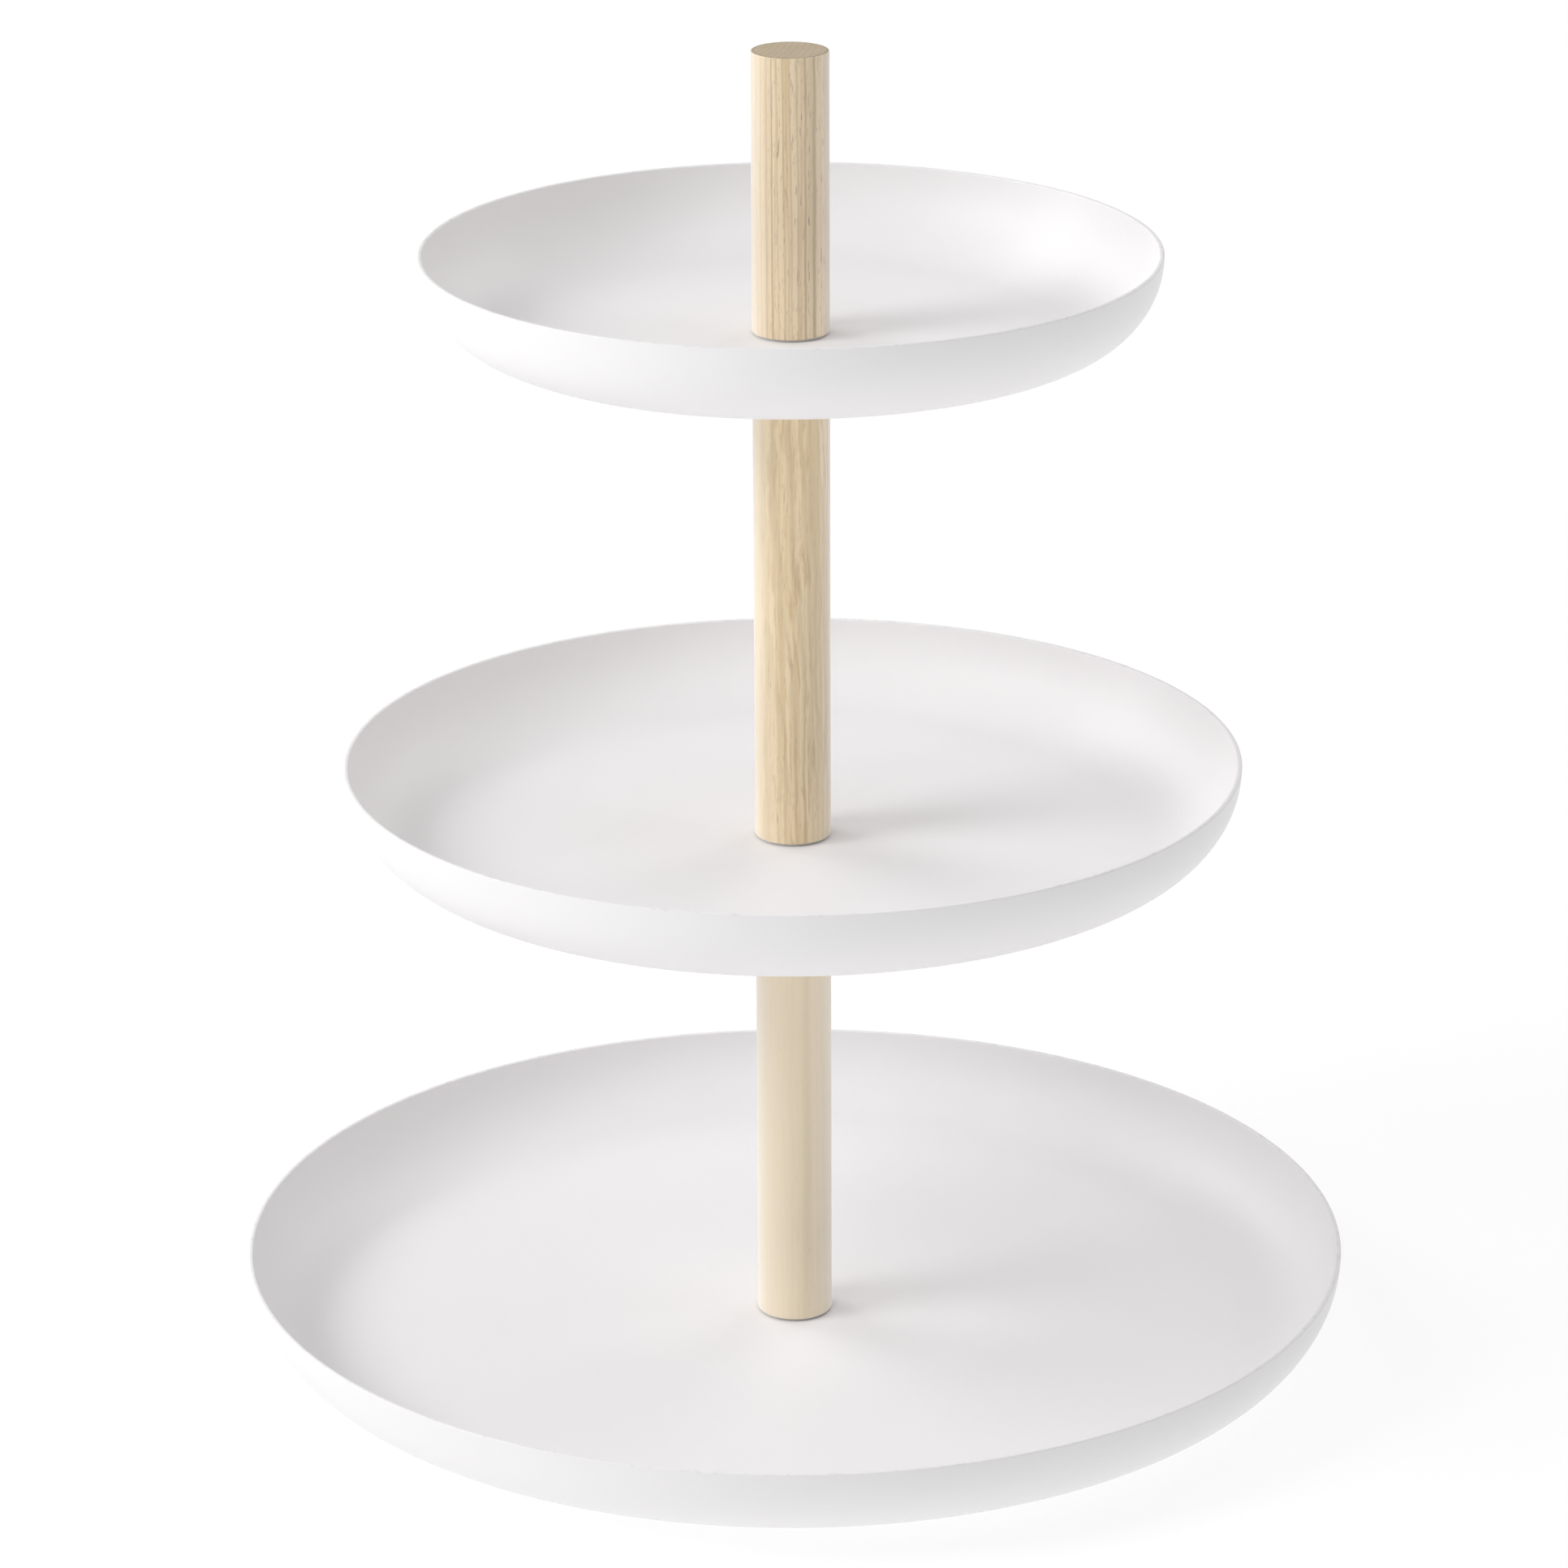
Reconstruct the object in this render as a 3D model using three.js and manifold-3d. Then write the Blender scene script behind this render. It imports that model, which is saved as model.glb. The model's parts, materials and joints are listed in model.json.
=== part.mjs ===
// Three-tier cake stand: three round, upturned-rim trays clamped between three turned wooden posts.
// Units are millimetres and +Z is up. The origin is the centre of the footprint on the table top.
// Each post hides a threaded insert in its lower end, and the lower two carry a threaded stud on top,
// so every tier is held by the post above it being screwed down onto the tray.
import * as THREE from 'three';
import { mergeVertices } from 'three/addons/utils/BufferGeometryUtils.js';
import Module from 'manifold-3d';

const wasm = await Module();
wasm.setup();

// ---- driving dimensions ----
const FOOT_HEIGHT = 3; // rubber bumper, also the height of the bottom tray above the table
const FOOT_RADIUS = 5;
const FOOT_FLAT_RADIUS = 3.6;
const FOOT_SHOULDER = { radius: 4.6, height: 0.8 }; // where the domed flank turns upright
const FOOT_SKIRT_HEIGHT = 2;
const FOOT_CIRCLE_RADIUS = 96;
const FOOT_COUNT = 4;

const TIER_PITCH = 130; // underside of one tray to the underside of the next
const TRAY_RADII = { bottom: 140, middle: 112, top: 90.5 };
const TRAY_DEPTH = 22;
const TRAY_BEND_RADIUS = 21.5; // outside of the bend from the floor up to the rim
const SHEET = 1.2;

const POST_RADIUS = 9.5;
const POST_CHAMFER = 0.6;
const TOP_POST_LENGTH = 69.5;

const THREAD_RADIUS = 3; // M6, modelled on its major diameter
const THREAD_ENGAGEMENT = 10;
const THREAD_TIP_CHAMFER = 0.6;
const CLEARANCE_RADIUS = 3.3; // every hole a thread passes through
const INSERT_RADIUS = 4.5;
const INSERT_LENGTH = 15;
const INSERT_BORE_DEPTH = 17;
const FIT_GAP = 0.1; // between a post's bore and the metal fixed in it
const STUD_DEPTH = 18; // wood thread buried in the post
const STUD_POINT = 4; // length of its pointed end
const STUD_POINT_RADIUS = 0.8;
const STUD_BORE_DEPTH = 19;

const SEAT_RADIUS = 8.8; // thin soft washers either side of a tray
const SEAT_THICKNESS = 0.5;
const BASE_WASHER_RADIUS = 9;
const BASE_WASHER_THICKNESS = 0.8;
const HEAD_RADIUS = 8;
const HEAD_THICKNESS = 1.6;
const HEAD_CHAMFER = 0.4;
const SOCKET_ACROSS_FLATS = 4;
const SOCKET_DEPTH = 1;

const TRAY_SIDES = 64;
const POST_SIDES = 32;
const SMALL_SIDES = 16;
const WASHER_SIDES = 24;
const BEND_STEPS = 6;

// ---- materials ----
const paint = (color, roughness, metalness) =>
  new THREE.MeshStandardMaterial({ color, roughness, metalness });
const coatedSteel = () => paint(0xf2f2f1, 0.55, 0.0);
const wood = (color) => paint(color, 0.62, 0.0);
const zincSteel = () => paint(0xb4b7ba, 0.35, 1.0);
const brass = () => paint(0xc2a05a, 0.35, 1.0);
const seatRubber = () => paint(0xa9a6a0, 0.7, 0.0);
const clearRubber = () => paint(0xdcdcd8, 0.4, 0.0);

// ---- helpers ----

// Turns a closed [radius, height] outline about +Z. Listed anticlockwise, its faces point out.
function turned(outline, sides) {
  const closed = outline[0][0] > 0 ? [...outline, outline[0]] : outline;
  const points = closed.map(([r, z]) => new THREE.Vector2(r, z));
  return new THREE.LatheGeometry(points, sides).rotateX(Math.PI / 2);
}

// A flat ring with its lower face at z = 0.
function ring(inner, outer, thickness, sides) {
  return turned([[inner, 0], [outer, 0], [outer, thickness], [inner, thickness]], sides);
}

// A closed geometry as a manifold solid, for cutting.
function solid(geometry) {
  const bare = geometry.clone();
  bare.deleteAttribute('normal');
  bare.deleteAttribute('uv');
  const merged = mergeVertices(bare, 1e-4);
  return new wasm.Manifold(new wasm.Mesh({
    numProp: 3,
    vertProperties: new Float32Array(merged.attributes.position.array),
    triVerts: new Uint32Array(merged.index.array),
  }));
}

// One geometry less another.
function cut(body, tool) {
  const mesh = solid(body).subtract(solid(tool)).getMesh();
  const geometry = new THREE.BufferGeometry();
  geometry.setAttribute('position', new THREE.BufferAttribute(mesh.vertProperties, 3));
  geometry.setIndex(new THREE.BufferAttribute(mesh.triVerts, 1));
  geometry.computeVertexNormals();
  return geometry;
}

function named(name, geometry, material, z = 0) {
  const mesh = new THREE.Mesh(geometry, material);
  mesh.name = name;
  mesh.position.z = z;
  return mesh;
}

// ---- pieces ----

// A pressed sheet tray: flat floor, quarter-round bend, short upright rim and a hole for the thread.
function tray(radius) {
  const flat = radius - TRAY_BEND_RADIUS;
  const bend = (r) => Array.from({ length: BEND_STEPS + 1 }, (_, i) => {
    const a = (i / BEND_STEPS) * Math.PI / 2;
    return [flat + r * Math.sin(a), TRAY_BEND_RADIUS - r * Math.cos(a)];
  });
  return turned([
    [CLEARANCE_RADIUS, 0],
    ...bend(TRAY_BEND_RADIUS),
    [radius, TRAY_DEPTH],
    [radius - SHEET, TRAY_DEPTH],
    ...bend(TRAY_BEND_RADIUS - SHEET).reverse(),
    [CLEARANCE_RADIUS, SHEET],
  ], TRAY_SIDES);
}

// A turned post, chamfered at both ends, bored below for its insert and, if asked, above for a stud.
function post(length, withStud) {
  const insertBore = INSERT_RADIUS + FIT_GAP;
  const studBore = THREAD_RADIUS + FIT_GAP;
  const top = withStud
    ? [[studBore, length], [studBore, length - STUD_BORE_DEPTH], [0, length - STUD_BORE_DEPTH]]
    : [[0, length]];
  return turned([
    [0, INSERT_BORE_DEPTH],
    [insertBore, INSERT_BORE_DEPTH],
    [insertBore, 0],
    [POST_RADIUS - POST_CHAMFER, 0],
    [POST_RADIUS, POST_CHAMFER],
    [POST_RADIUS, length - POST_CHAMFER],
    [POST_RADIUS - POST_CHAMFER, length],
    ...top,
  ], POST_SIDES);
}

// A hanger bolt: z = 0 is the post's top face, the pointed end is buried, the plain end stands up.
function stud(standing) {
  return turned([
    [0, -STUD_DEPTH],
    [STUD_POINT_RADIUS, -STUD_DEPTH],
    [THREAD_RADIUS, STUD_POINT - STUD_DEPTH],
    [THREAD_RADIUS, standing - THREAD_TIP_CHAMFER],
    [THREAD_RADIUS - THREAD_TIP_CHAMFER, standing],
    [0, standing],
  ], SMALL_SIDES);
}

// A wide, thin-headed screw standing head down, with a hexagon socket. z = 0 is the head's seat.
function baseScrew(standing) {
  const body = turned([
    [0, -HEAD_THICKNESS],
    [HEAD_RADIUS - HEAD_CHAMFER, -HEAD_THICKNESS],
    [HEAD_RADIUS, HEAD_CHAMFER - HEAD_THICKNESS],
    [HEAD_RADIUS, 0],
    [THREAD_RADIUS, 0],
    [THREAD_RADIUS, standing - THREAD_TIP_CHAMFER],
    [THREAD_RADIUS - THREAD_TIP_CHAMFER, standing],
    [0, standing],
  ], WASHER_SIDES);
  const corner = SOCKET_ACROSS_FLATS / Math.sqrt(3);
  const key = new THREE.CylinderGeometry(corner, corner, 2 * SOCKET_DEPTH, 6).rotateX(Math.PI / 2);
  return cut(body, key.translate(0, 0, -HEAD_THICKNESS));
}

// A stick-on rubber bumper, its flat underside on the table.
function foot() {
  return turned([
    [0, 0],
    [FOOT_FLAT_RADIUS, 0],
    [FOOT_SHOULDER.radius, FOOT_SHOULDER.height],
    [FOOT_RADIUS, FOOT_SKIRT_HEIGHT],
    [FOOT_RADIUS, FOOT_HEIGHT],
    [0, FOOT_HEIGHT],
  ], SMALL_SIDES);
}

// ---- assembly ----
const stand = new THREE.Group();

const tiers = [
  { tray: 'bottom_tray', post: 'lower_post', radius: TRAY_RADII.bottom, wood: 0xe3d2b8 },
  { tray: 'middle_tray', post: 'middle_post', radius: TRAY_RADII.middle, wood: 0xdcc7a5 },
  { tray: 'top_tray', post: 'upper_post', radius: TRAY_RADII.top, wood: 0xd8c4a8 },
];
const seatAndSheet = SHEET + SEAT_THICKNESS; // tray underside up to the foot of its post
const passedThrough = SHEET + 2 * SEAT_THICKNESS; // stud length lost in a tray and its two washers
const postLength = TIER_PITCH - SEAT_THICKNESS - seatAndSheet;

tiers.forEach((tier, i) => {
  const last = i === tiers.length - 1;
  const level = new THREE.Group();
  level.position.z = FOOT_HEIGHT + i * TIER_PITCH; // the tray's underside
  const prefix = tier.post.replace('_post', '');
  const length = last ? TOP_POST_LENGTH : postLength;

  level.add(named(tier.tray, tray(tier.radius), coatedSteel()));
  level.add(named(`${prefix}_post_seat`, ring(CLEARANCE_RADIUS, SEAT_RADIUS, SEAT_THICKNESS, WASHER_SIDES),
    seatRubber(), SHEET));

  const column = new THREE.Group();
  column.position.z = seatAndSheet;
  column.add(named(tier.post, post(length, !last), wood(tier.wood)));
  column.add(named(`${prefix}_insert`, ring(CLEARANCE_RADIUS, INSERT_RADIUS, INSERT_LENGTH, SMALL_SIDES),
    brass()));
  if (!last) {
    column.add(named(`${prefix}_stud`, stud(passedThrough + THREAD_ENGAGEMENT), zincSteel(), length));
    column.add(named(`${tiers[i + 1].tray}_seat`,
      ring(CLEARANCE_RADIUS, SEAT_RADIUS, SEAT_THICKNESS, WASHER_SIDES), seatRubber(), length));
  }
  level.add(column);
  stand.add(level);
});

// Under the bottom tray: washer, screw and four bumpers.
const below = new THREE.Group();
below.position.z = FOOT_HEIGHT - BASE_WASHER_THICKNESS;
below.add(named('base_washer',
  ring(CLEARANCE_RADIUS, BASE_WASHER_RADIUS, BASE_WASHER_THICKNESS, WASHER_SIDES), zincSteel()));
below.add(named('base_screw',
  baseScrew(BASE_WASHER_THICKNESS + seatAndSheet + THREAD_ENGAGEMENT), zincSteel()));
stand.add(below);

for (let i = 0; i < FOOT_COUNT; i += 1) {
  const turn = ((i + 0.5) / FOOT_COUNT) * 2 * Math.PI;
  const bumper = named(`foot_${i + 1}`, foot(), clearRubber());
  bumper.position.set(FOOT_CIRCLE_RADIUS * Math.cos(turn), FOOT_CIRCLE_RADIUS * Math.sin(turn), 0);
  stand.add(bumper);
}

export default stand;
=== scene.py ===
"""Looks of a three-tier cake stand: coated trays on turned wooden posts, with their hidden threads."""
import json
import math

import bpy
import numpy as np
from bpy.props import FloatProperty, FloatVectorProperty, IntProperty, PointerProperty
from mathutils import Matrix, Vector

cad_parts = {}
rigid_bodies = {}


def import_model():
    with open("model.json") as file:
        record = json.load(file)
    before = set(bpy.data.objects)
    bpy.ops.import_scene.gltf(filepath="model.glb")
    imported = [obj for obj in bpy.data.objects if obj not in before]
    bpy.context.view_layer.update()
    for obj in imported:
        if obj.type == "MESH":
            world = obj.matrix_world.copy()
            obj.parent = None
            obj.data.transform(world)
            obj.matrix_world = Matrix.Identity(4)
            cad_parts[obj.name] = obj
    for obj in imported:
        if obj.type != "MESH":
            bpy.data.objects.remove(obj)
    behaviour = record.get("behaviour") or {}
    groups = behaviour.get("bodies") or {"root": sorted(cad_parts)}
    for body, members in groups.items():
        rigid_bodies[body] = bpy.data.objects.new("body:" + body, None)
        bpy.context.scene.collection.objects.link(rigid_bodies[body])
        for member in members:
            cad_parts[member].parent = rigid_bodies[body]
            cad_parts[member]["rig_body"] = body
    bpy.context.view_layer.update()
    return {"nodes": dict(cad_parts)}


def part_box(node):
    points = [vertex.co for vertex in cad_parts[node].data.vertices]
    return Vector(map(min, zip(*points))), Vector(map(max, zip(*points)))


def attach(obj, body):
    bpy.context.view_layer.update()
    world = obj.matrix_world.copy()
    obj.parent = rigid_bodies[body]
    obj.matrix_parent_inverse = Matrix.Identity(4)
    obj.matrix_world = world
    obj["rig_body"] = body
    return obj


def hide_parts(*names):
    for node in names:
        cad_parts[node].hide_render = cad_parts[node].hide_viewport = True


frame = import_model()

bl_info = {
    "name": "Tiered Cake Stand",
    "version": (1, 0, 0),
    "blender": (4, 5, 0),
    "location": "View3D > Sidebar > Cake Stand",
    "description": "Builds the trays, posts, fixings and stage of a three-tier cake stand",
    "category": "Object",
}

MM = 0.001
TAU = 2 * math.pi
TIERS = ("lower", "middle", "upper")
TRAYS = ("bottom_tray", "middle_tray", "top_tray")


# ---------------------------------------------------------------- reading the frame


def radius_of(node):
    """Half the width of a round CAD node."""
    low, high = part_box(node)
    return (high.x - low.x) / 2


def span_of(node):
    """Lowest and highest z of a CAD node."""
    low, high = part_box(node)
    return low.z, high.z


THREAD_RADIUS = radius_of("lower_stud")
THREAD_SIDES = 72  # steps round a stud or an insert
WASHER_SIDES = 96
FOOT_SIDES = 64


# ---------------------------------------------------------------- sizes and colours


def length(name, description, millimetres):
    """A length property, given in millimetres and kept in metres."""
    return FloatProperty(name=name, description=description, default=millimetres * MM,
                         min=0, precision=5, unit="LENGTH", subtype="DISTANCE")


def colour(name, description, rgb):
    """A linear colour property."""
    return FloatVectorProperty(name=name, description=description, default=rgb, size=3,
                               min=0, max=1, subtype="COLOR")


def share(name, description, default, highest=1.0):
    """A plain number, from 0 up to a highest value."""
    return FloatProperty(name=name, description=description, default=default, min=0,
                         max=highest, subtype="FACTOR")


class CakeTraySettings(bpy.types.PropertyGroup):
    """Sizes and finish of the pressed trays; radius and depth come from the frame."""
    sheet: length("Sheet", "Thickness of the coated sheet", 1.2)
    bend: length("Bend radius", "Outside radius of the bend from floor to rim", 21.5)
    hole: length("Hole radius", "Radius of the hole for the thread", 3.3)
    edge: length("Edge rounding", "Rounding of the coated rim", 0.42)
    hole_edge: length("Hole rounding", "Rounding of the hole's two edges", 0.15)
    sides: IntProperty(name="Sides", description="Steps round a tray", default=288, min=32)
    coat: colour("Coat", "Colour of the powder coat", (0.912, 0.899, 0.908))
    gloss: share("Roughness", "Mean roughness of the powder coat", 0.5)


class CakePostSettings(bpy.types.PropertyGroup):
    """Sizes and finish of the turned posts."""
    edge: length("Edge rounding", "Rounding of a post's two ends", 0.45)
    insert_bore: length("Insert bore", "Radius of the bore in a post's foot", 4.6)
    insert_depth: length("Insert depth", "Depth of the bore in a post's foot", 17)
    stud_bore: length("Stud bore", "Radius of the bore in a post's head", 3.1)
    stud_depth: length("Stud depth", "Depth of the bore in a post's head", 19)
    bore_edge: length("Bore rounding", "Rounding of the edges of both bores", 0.25)
    sides: IntProperty(name="Sides", description="Steps round a post", default=160, min=32)
    pale: colour("Pale wood", "Colour of the wood between the rings", (0.80, 0.67, 0.485))
    dark: colour("Ring wood", "Colour of the growth rings", (0.51, 0.375, 0.185))
    end: colour("End grain", "Colour of the sawn ends", (0.55, 0.45, 0.325))
    pore: colour("Pores", "Colour deep in the open pores", (0.33, 0.19, 0.10))
    lacquer: share("Lacquer", "Amount of satin lacquer on the wood", 0.7)
    sheen: share("Sheen", "Paleness of the fine fibres seen edge on", 0.95)


class CakeFixingSettings(bpy.types.PropertyGroup):
    """Sizes and finish of the threads, washers and bumpers."""
    pitch: length("Pitch", "Rise of the machine thread in one turn", 1.0)
    depth: length("Thread depth", "Depth of the machine thread", 0.58)
    tip: length("Thread tip", "Chamfer at the end of the machine thread", 0.65)
    slack: length("Thread slack", "Air between stud thread and insert thread", 0.09)
    wood_pitch: length("Wood pitch", "Rise of the coarse wood thread in one turn", 2.4)
    wood_depth: length("Wood thread depth", "Depth of the coarse wood thread", 0.75)
    socket: length("Socket", "Across the flats of the base screw's socket", 4.0)
    socket_depth: length("Socket depth", "Depth of the base screw's socket", 1.0)
    head: length("Head thickness", "Thickness of the base screw's head", 1.6)
    seat_edge: length("Seat rounding", "Rounding of the soft washers' edges", 0.22)
    washer_edge: length("Washer rounding", "Rounding of the base washer's edges", 0.18)
    zinc: colour("Zinc", "Colour of the zinc plating", (0.62, 0.635, 0.65))
    brass: colour("Brass", "Colour of the turned inserts", (0.76, 0.55, 0.25))
    rubber: colour("Seat rubber", "Colour of the seat washers", (0.66, 0.645, 0.615))
    bumper: colour("Bumper", "Colour of the clear rubber feet", (0.83, 0.84, 0.83))


class CakeStageSettings(bpy.types.PropertyGroup):
    """Camera, lights and floor."""
    distance: length("Camera distance", "From the stand's axis, along the floor", 1387.5)
    height: length("Camera height", "Above the floor", 642.3)
    pitch: FloatProperty(name="Pitch", description="How far the camera looks down",
                         default=math.radians(19.768), unit="ROTATION", subtype="ANGLE")
    roll: FloatProperty(name="Roll", description="Turn of the camera about its view",
                        default=math.radians(-0.241), unit="ROTATION", subtype="ANGLE")
    lens: FloatProperty(name="Lens", description="Focal length on a 36 mm sensor",
                        default=135.15, min=10, unit="CAMERA")
    shift: FloatVectorProperty(name="Shift", description="Sideways and upward shift of the frame",
                               default=(-0.0057, 0.0093), size=2)
    sky: share("Sky", "Strength of the even white light all round", 0.25, 4.0)
    blank: share("Blank sky", "Brightness of the sky where it is seen itself", 0.93, 4.0)
    key: share("Key", "Power of the large soft light at the left", 13.2, 500.0)
    low: share("Low", "Power of the low soft light at the left", 2.2, 500.0)
    rim: share("Rim", "Power of the wide light at the back left", 10.2, 500.0)
    top: share("Top", "Power of the wide light overhead", 7.0, 500.0)
    front: share("Front", "Power of the low wide light at the front left", 5.0, 500.0)
    fill: share("Fill", "Power of the weak wide light at the right", 3.7, 500.0)
    back: share("Back", "Power of the wide light at the back right", 6.3, 500.0)
    floor: colour("Floor", "Colour of the floor", (0.3, 0.3, 0.3))
    glow: share("Floor glow", "Light that the floor gives off, so that it looks blank", 0.725, 4.0)


# ---------------------------------------------------------------- surfaces


def skin(name, rows, loop=False):
    """A closed skin over a grid of points, rows by columns, whose columns run round the part.

    With loop the rows close on themselves too, as on a ring. Without it the first and last
    rows shrink to one point each, their mean. Rows going up with columns anticlockwise
    give faces that point away from the axis.
    """
    count, sides = rows.shape[:2]
    column = np.arange(sides)
    beside = (column + 1) % sides

    def strip(low, high):
        return np.stack([low + column, low + beside, high + beside, high + column], axis=-1)

    if loop:
        points = rows.reshape(-1, 3)
        starts = np.arange(count)[:, None] * sides
        faces = strip(starts, np.roll(starts, -1, axis=0)).reshape(-1, 4).tolist()
    else:
        low_pole, high_pole = rows[0].mean(axis=0), rows[-1].mean(axis=0)
        points = np.concatenate([rows[1:-1].reshape(-1, 3), [low_pole, high_pole]])
        starts = np.arange(count - 3)[:, None] * sides
        first = len(points) - 2
        last_row = (count - 3) * sides
        faces = strip(starts, starts + sides).reshape(-1, 4).tolist()
        faces += np.stack([np.full(sides, first), beside, column], axis=-1).tolist()
        faces += np.stack([last_row + column, last_row + beside,
                           np.full(sides, first + 1)], axis=-1).tolist()
    mesh = bpy.data.meshes.new(name)
    mesh.from_pydata(points.tolist(), [], faces)
    mesh.validate()
    mesh.shade_smooth()
    mesh.set_sharp_from_angle(angle=math.radians(32))
    piece = bpy.data.objects.new(name, mesh)
    bpy.context.scene.collection.objects.link(piece)
    return piece


def turn(radii, heights, sides, centre=(0.0, 0.0)):
    """Rows of points: radius and height of each row, or of each point, carried round +Z."""
    radii = np.asarray(radii, float)
    heights = np.asarray(heights, float)
    angle = np.arange(sides) / sides * TAU
    radii = np.broadcast_to(radii if radii.ndim == 2 else radii[:, None], (len(radii), sides))
    heights = np.broadcast_to(heights if heights.ndim == 2 else heights[:, None], radii.shape)
    x = centre[0] + radii * np.cos(angle)
    y = centre[1] + radii * np.sin(angle)
    return np.stack([x, y, heights], axis=-1)


def outline(corners, steps=6, reach=None, closed=True):
    """Points along a section whose corners are (radius, height, rounding).

    A rounded corner becomes an arc: it starts and ends at rounding / tan(half the corner's
    angle) from the corner, and its middle lies on the line that halves the angle.
    Straight runs longer than reach are cut into even steps.
    """
    corners = [np.array(c, float) for c in corners]
    points = []
    for i, corner in enumerate(corners):
        here, rounding = corner[:2], corner[2]
        if rounding <= 0 or (not closed and i in (0, len(corners) - 1)):
            points.append(here)
            continue
        back = corners[i - 1][:2] - here
        ahead = corners[(i + 1) % len(corners)][:2] - here
        back, ahead = back / np.linalg.norm(back), ahead / np.linalg.norm(ahead)
        half = math.acos(float(np.clip(back @ ahead, -1, 1))) / 2
        middle = (back + ahead) / np.linalg.norm(back + ahead)
        centre = here + middle * rounding / math.sin(half)
        start = here + back * rounding / math.tan(half) - centre
        swept = math.pi - 2 * half
        sign = math.copysign(1, back[0] * ahead[1] - back[1] * ahead[0]) * -1
        for k in range(steps + 1):
            a = sign * swept * k / steps
            turned = (start[0] * math.cos(a) - start[1] * math.sin(a),
                      start[0] * math.sin(a) + start[1] * math.cos(a))
            points.append(centre + turned)
    if reach:
        points = even(points, reach, closed)
    return np.array(points)


def even(points, reach, closed):
    """The same path with extra points, so that no step is longer than reach."""
    ends = points[1:] + ([points[0]] if closed else [])
    out = []
    for start, end in zip(points, ends):
        parts = max(1, math.ceil(np.linalg.norm(end - start) / reach))
        out += [start + (end - start) * k / parts for k in range(parts)]
    return out if closed else out + [points[-1]]


def ridge(height, sides, pitch, crest=0.125):
    """Height of a right-hand V thread, 0 at its root and 1 at its crest.

    The phase is height / pitch - angle / turn. The flanks are straight and the flats at
    crest and root each take the same share of the pitch.
    """
    angle = np.arange(sides) / sides
    phase = np.mod(np.asarray(height, float)[:, None] / pitch - angle, 1)
    return np.clip((np.abs(2 * phase - 1) - crest) / (1 - 2 * crest), 0, 1)


def thread_rows(low, high, pitch, per_turn=12):
    """Heights of the rows that carry a thread from low to high."""
    return np.linspace(low, high, max(2, round((high - low) / pitch * per_turn)) + 1)


def hexagon(across, sides):
    """Radius of a hexagon at each step round it: half the flats over the cosine from a flat."""
    angle = np.arange(sides) / sides * TAU
    off = np.mod(angle, TAU / 6) - TAU / 12
    return across / 2 / np.cos(off)


def rows_of(points, sides, centre=(0.0, 0.0)):
    """Grid rows from a plain list of (radius, height) points."""
    points = np.asarray(points, float)
    return turn(points[:, 0], points[:, 1], sides, centre)


def place(piece, node, finish):
    """Gives a piece its finish, hides its CAD node, and lets the piece ride where the node rides."""
    piece.data.materials.append(finish)
    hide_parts(node)
    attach(piece, frame["nodes"][node]["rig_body"])
    return piece


# ---------------------------------------------------------------- finishes


class Value:
    """One output of a shader node. Sums written on it add Math nodes."""

    def __init__(self, finish, socket):
        self.finish, self.socket = finish, socket

    def math(self, operation, *others, first=None):
        """A Math node on this value and the others, or on first and then this value."""
        values = (self, *others) if first is None else (first, self, *others)
        return self.finish.add("ShaderNodeMath", {"operation": operation}, dict(enumerate(values)))

    def __add__(self, other):
        return self.math("ADD", other)

    def __mul__(self, other):
        return self.math("MULTIPLY", other)

    def __sub__(self, other):
        return self.math("SUBTRACT", other)

    def __rsub__(self, other):
        return self.math("SUBTRACT", first=other)

    def __truediv__(self, other):
        return self.math("DIVIDE", other)

    def __pow__(self, other):
        return self.math("POWER", other)

    __radd__ = __add__
    __rmul__ = __mul__


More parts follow.
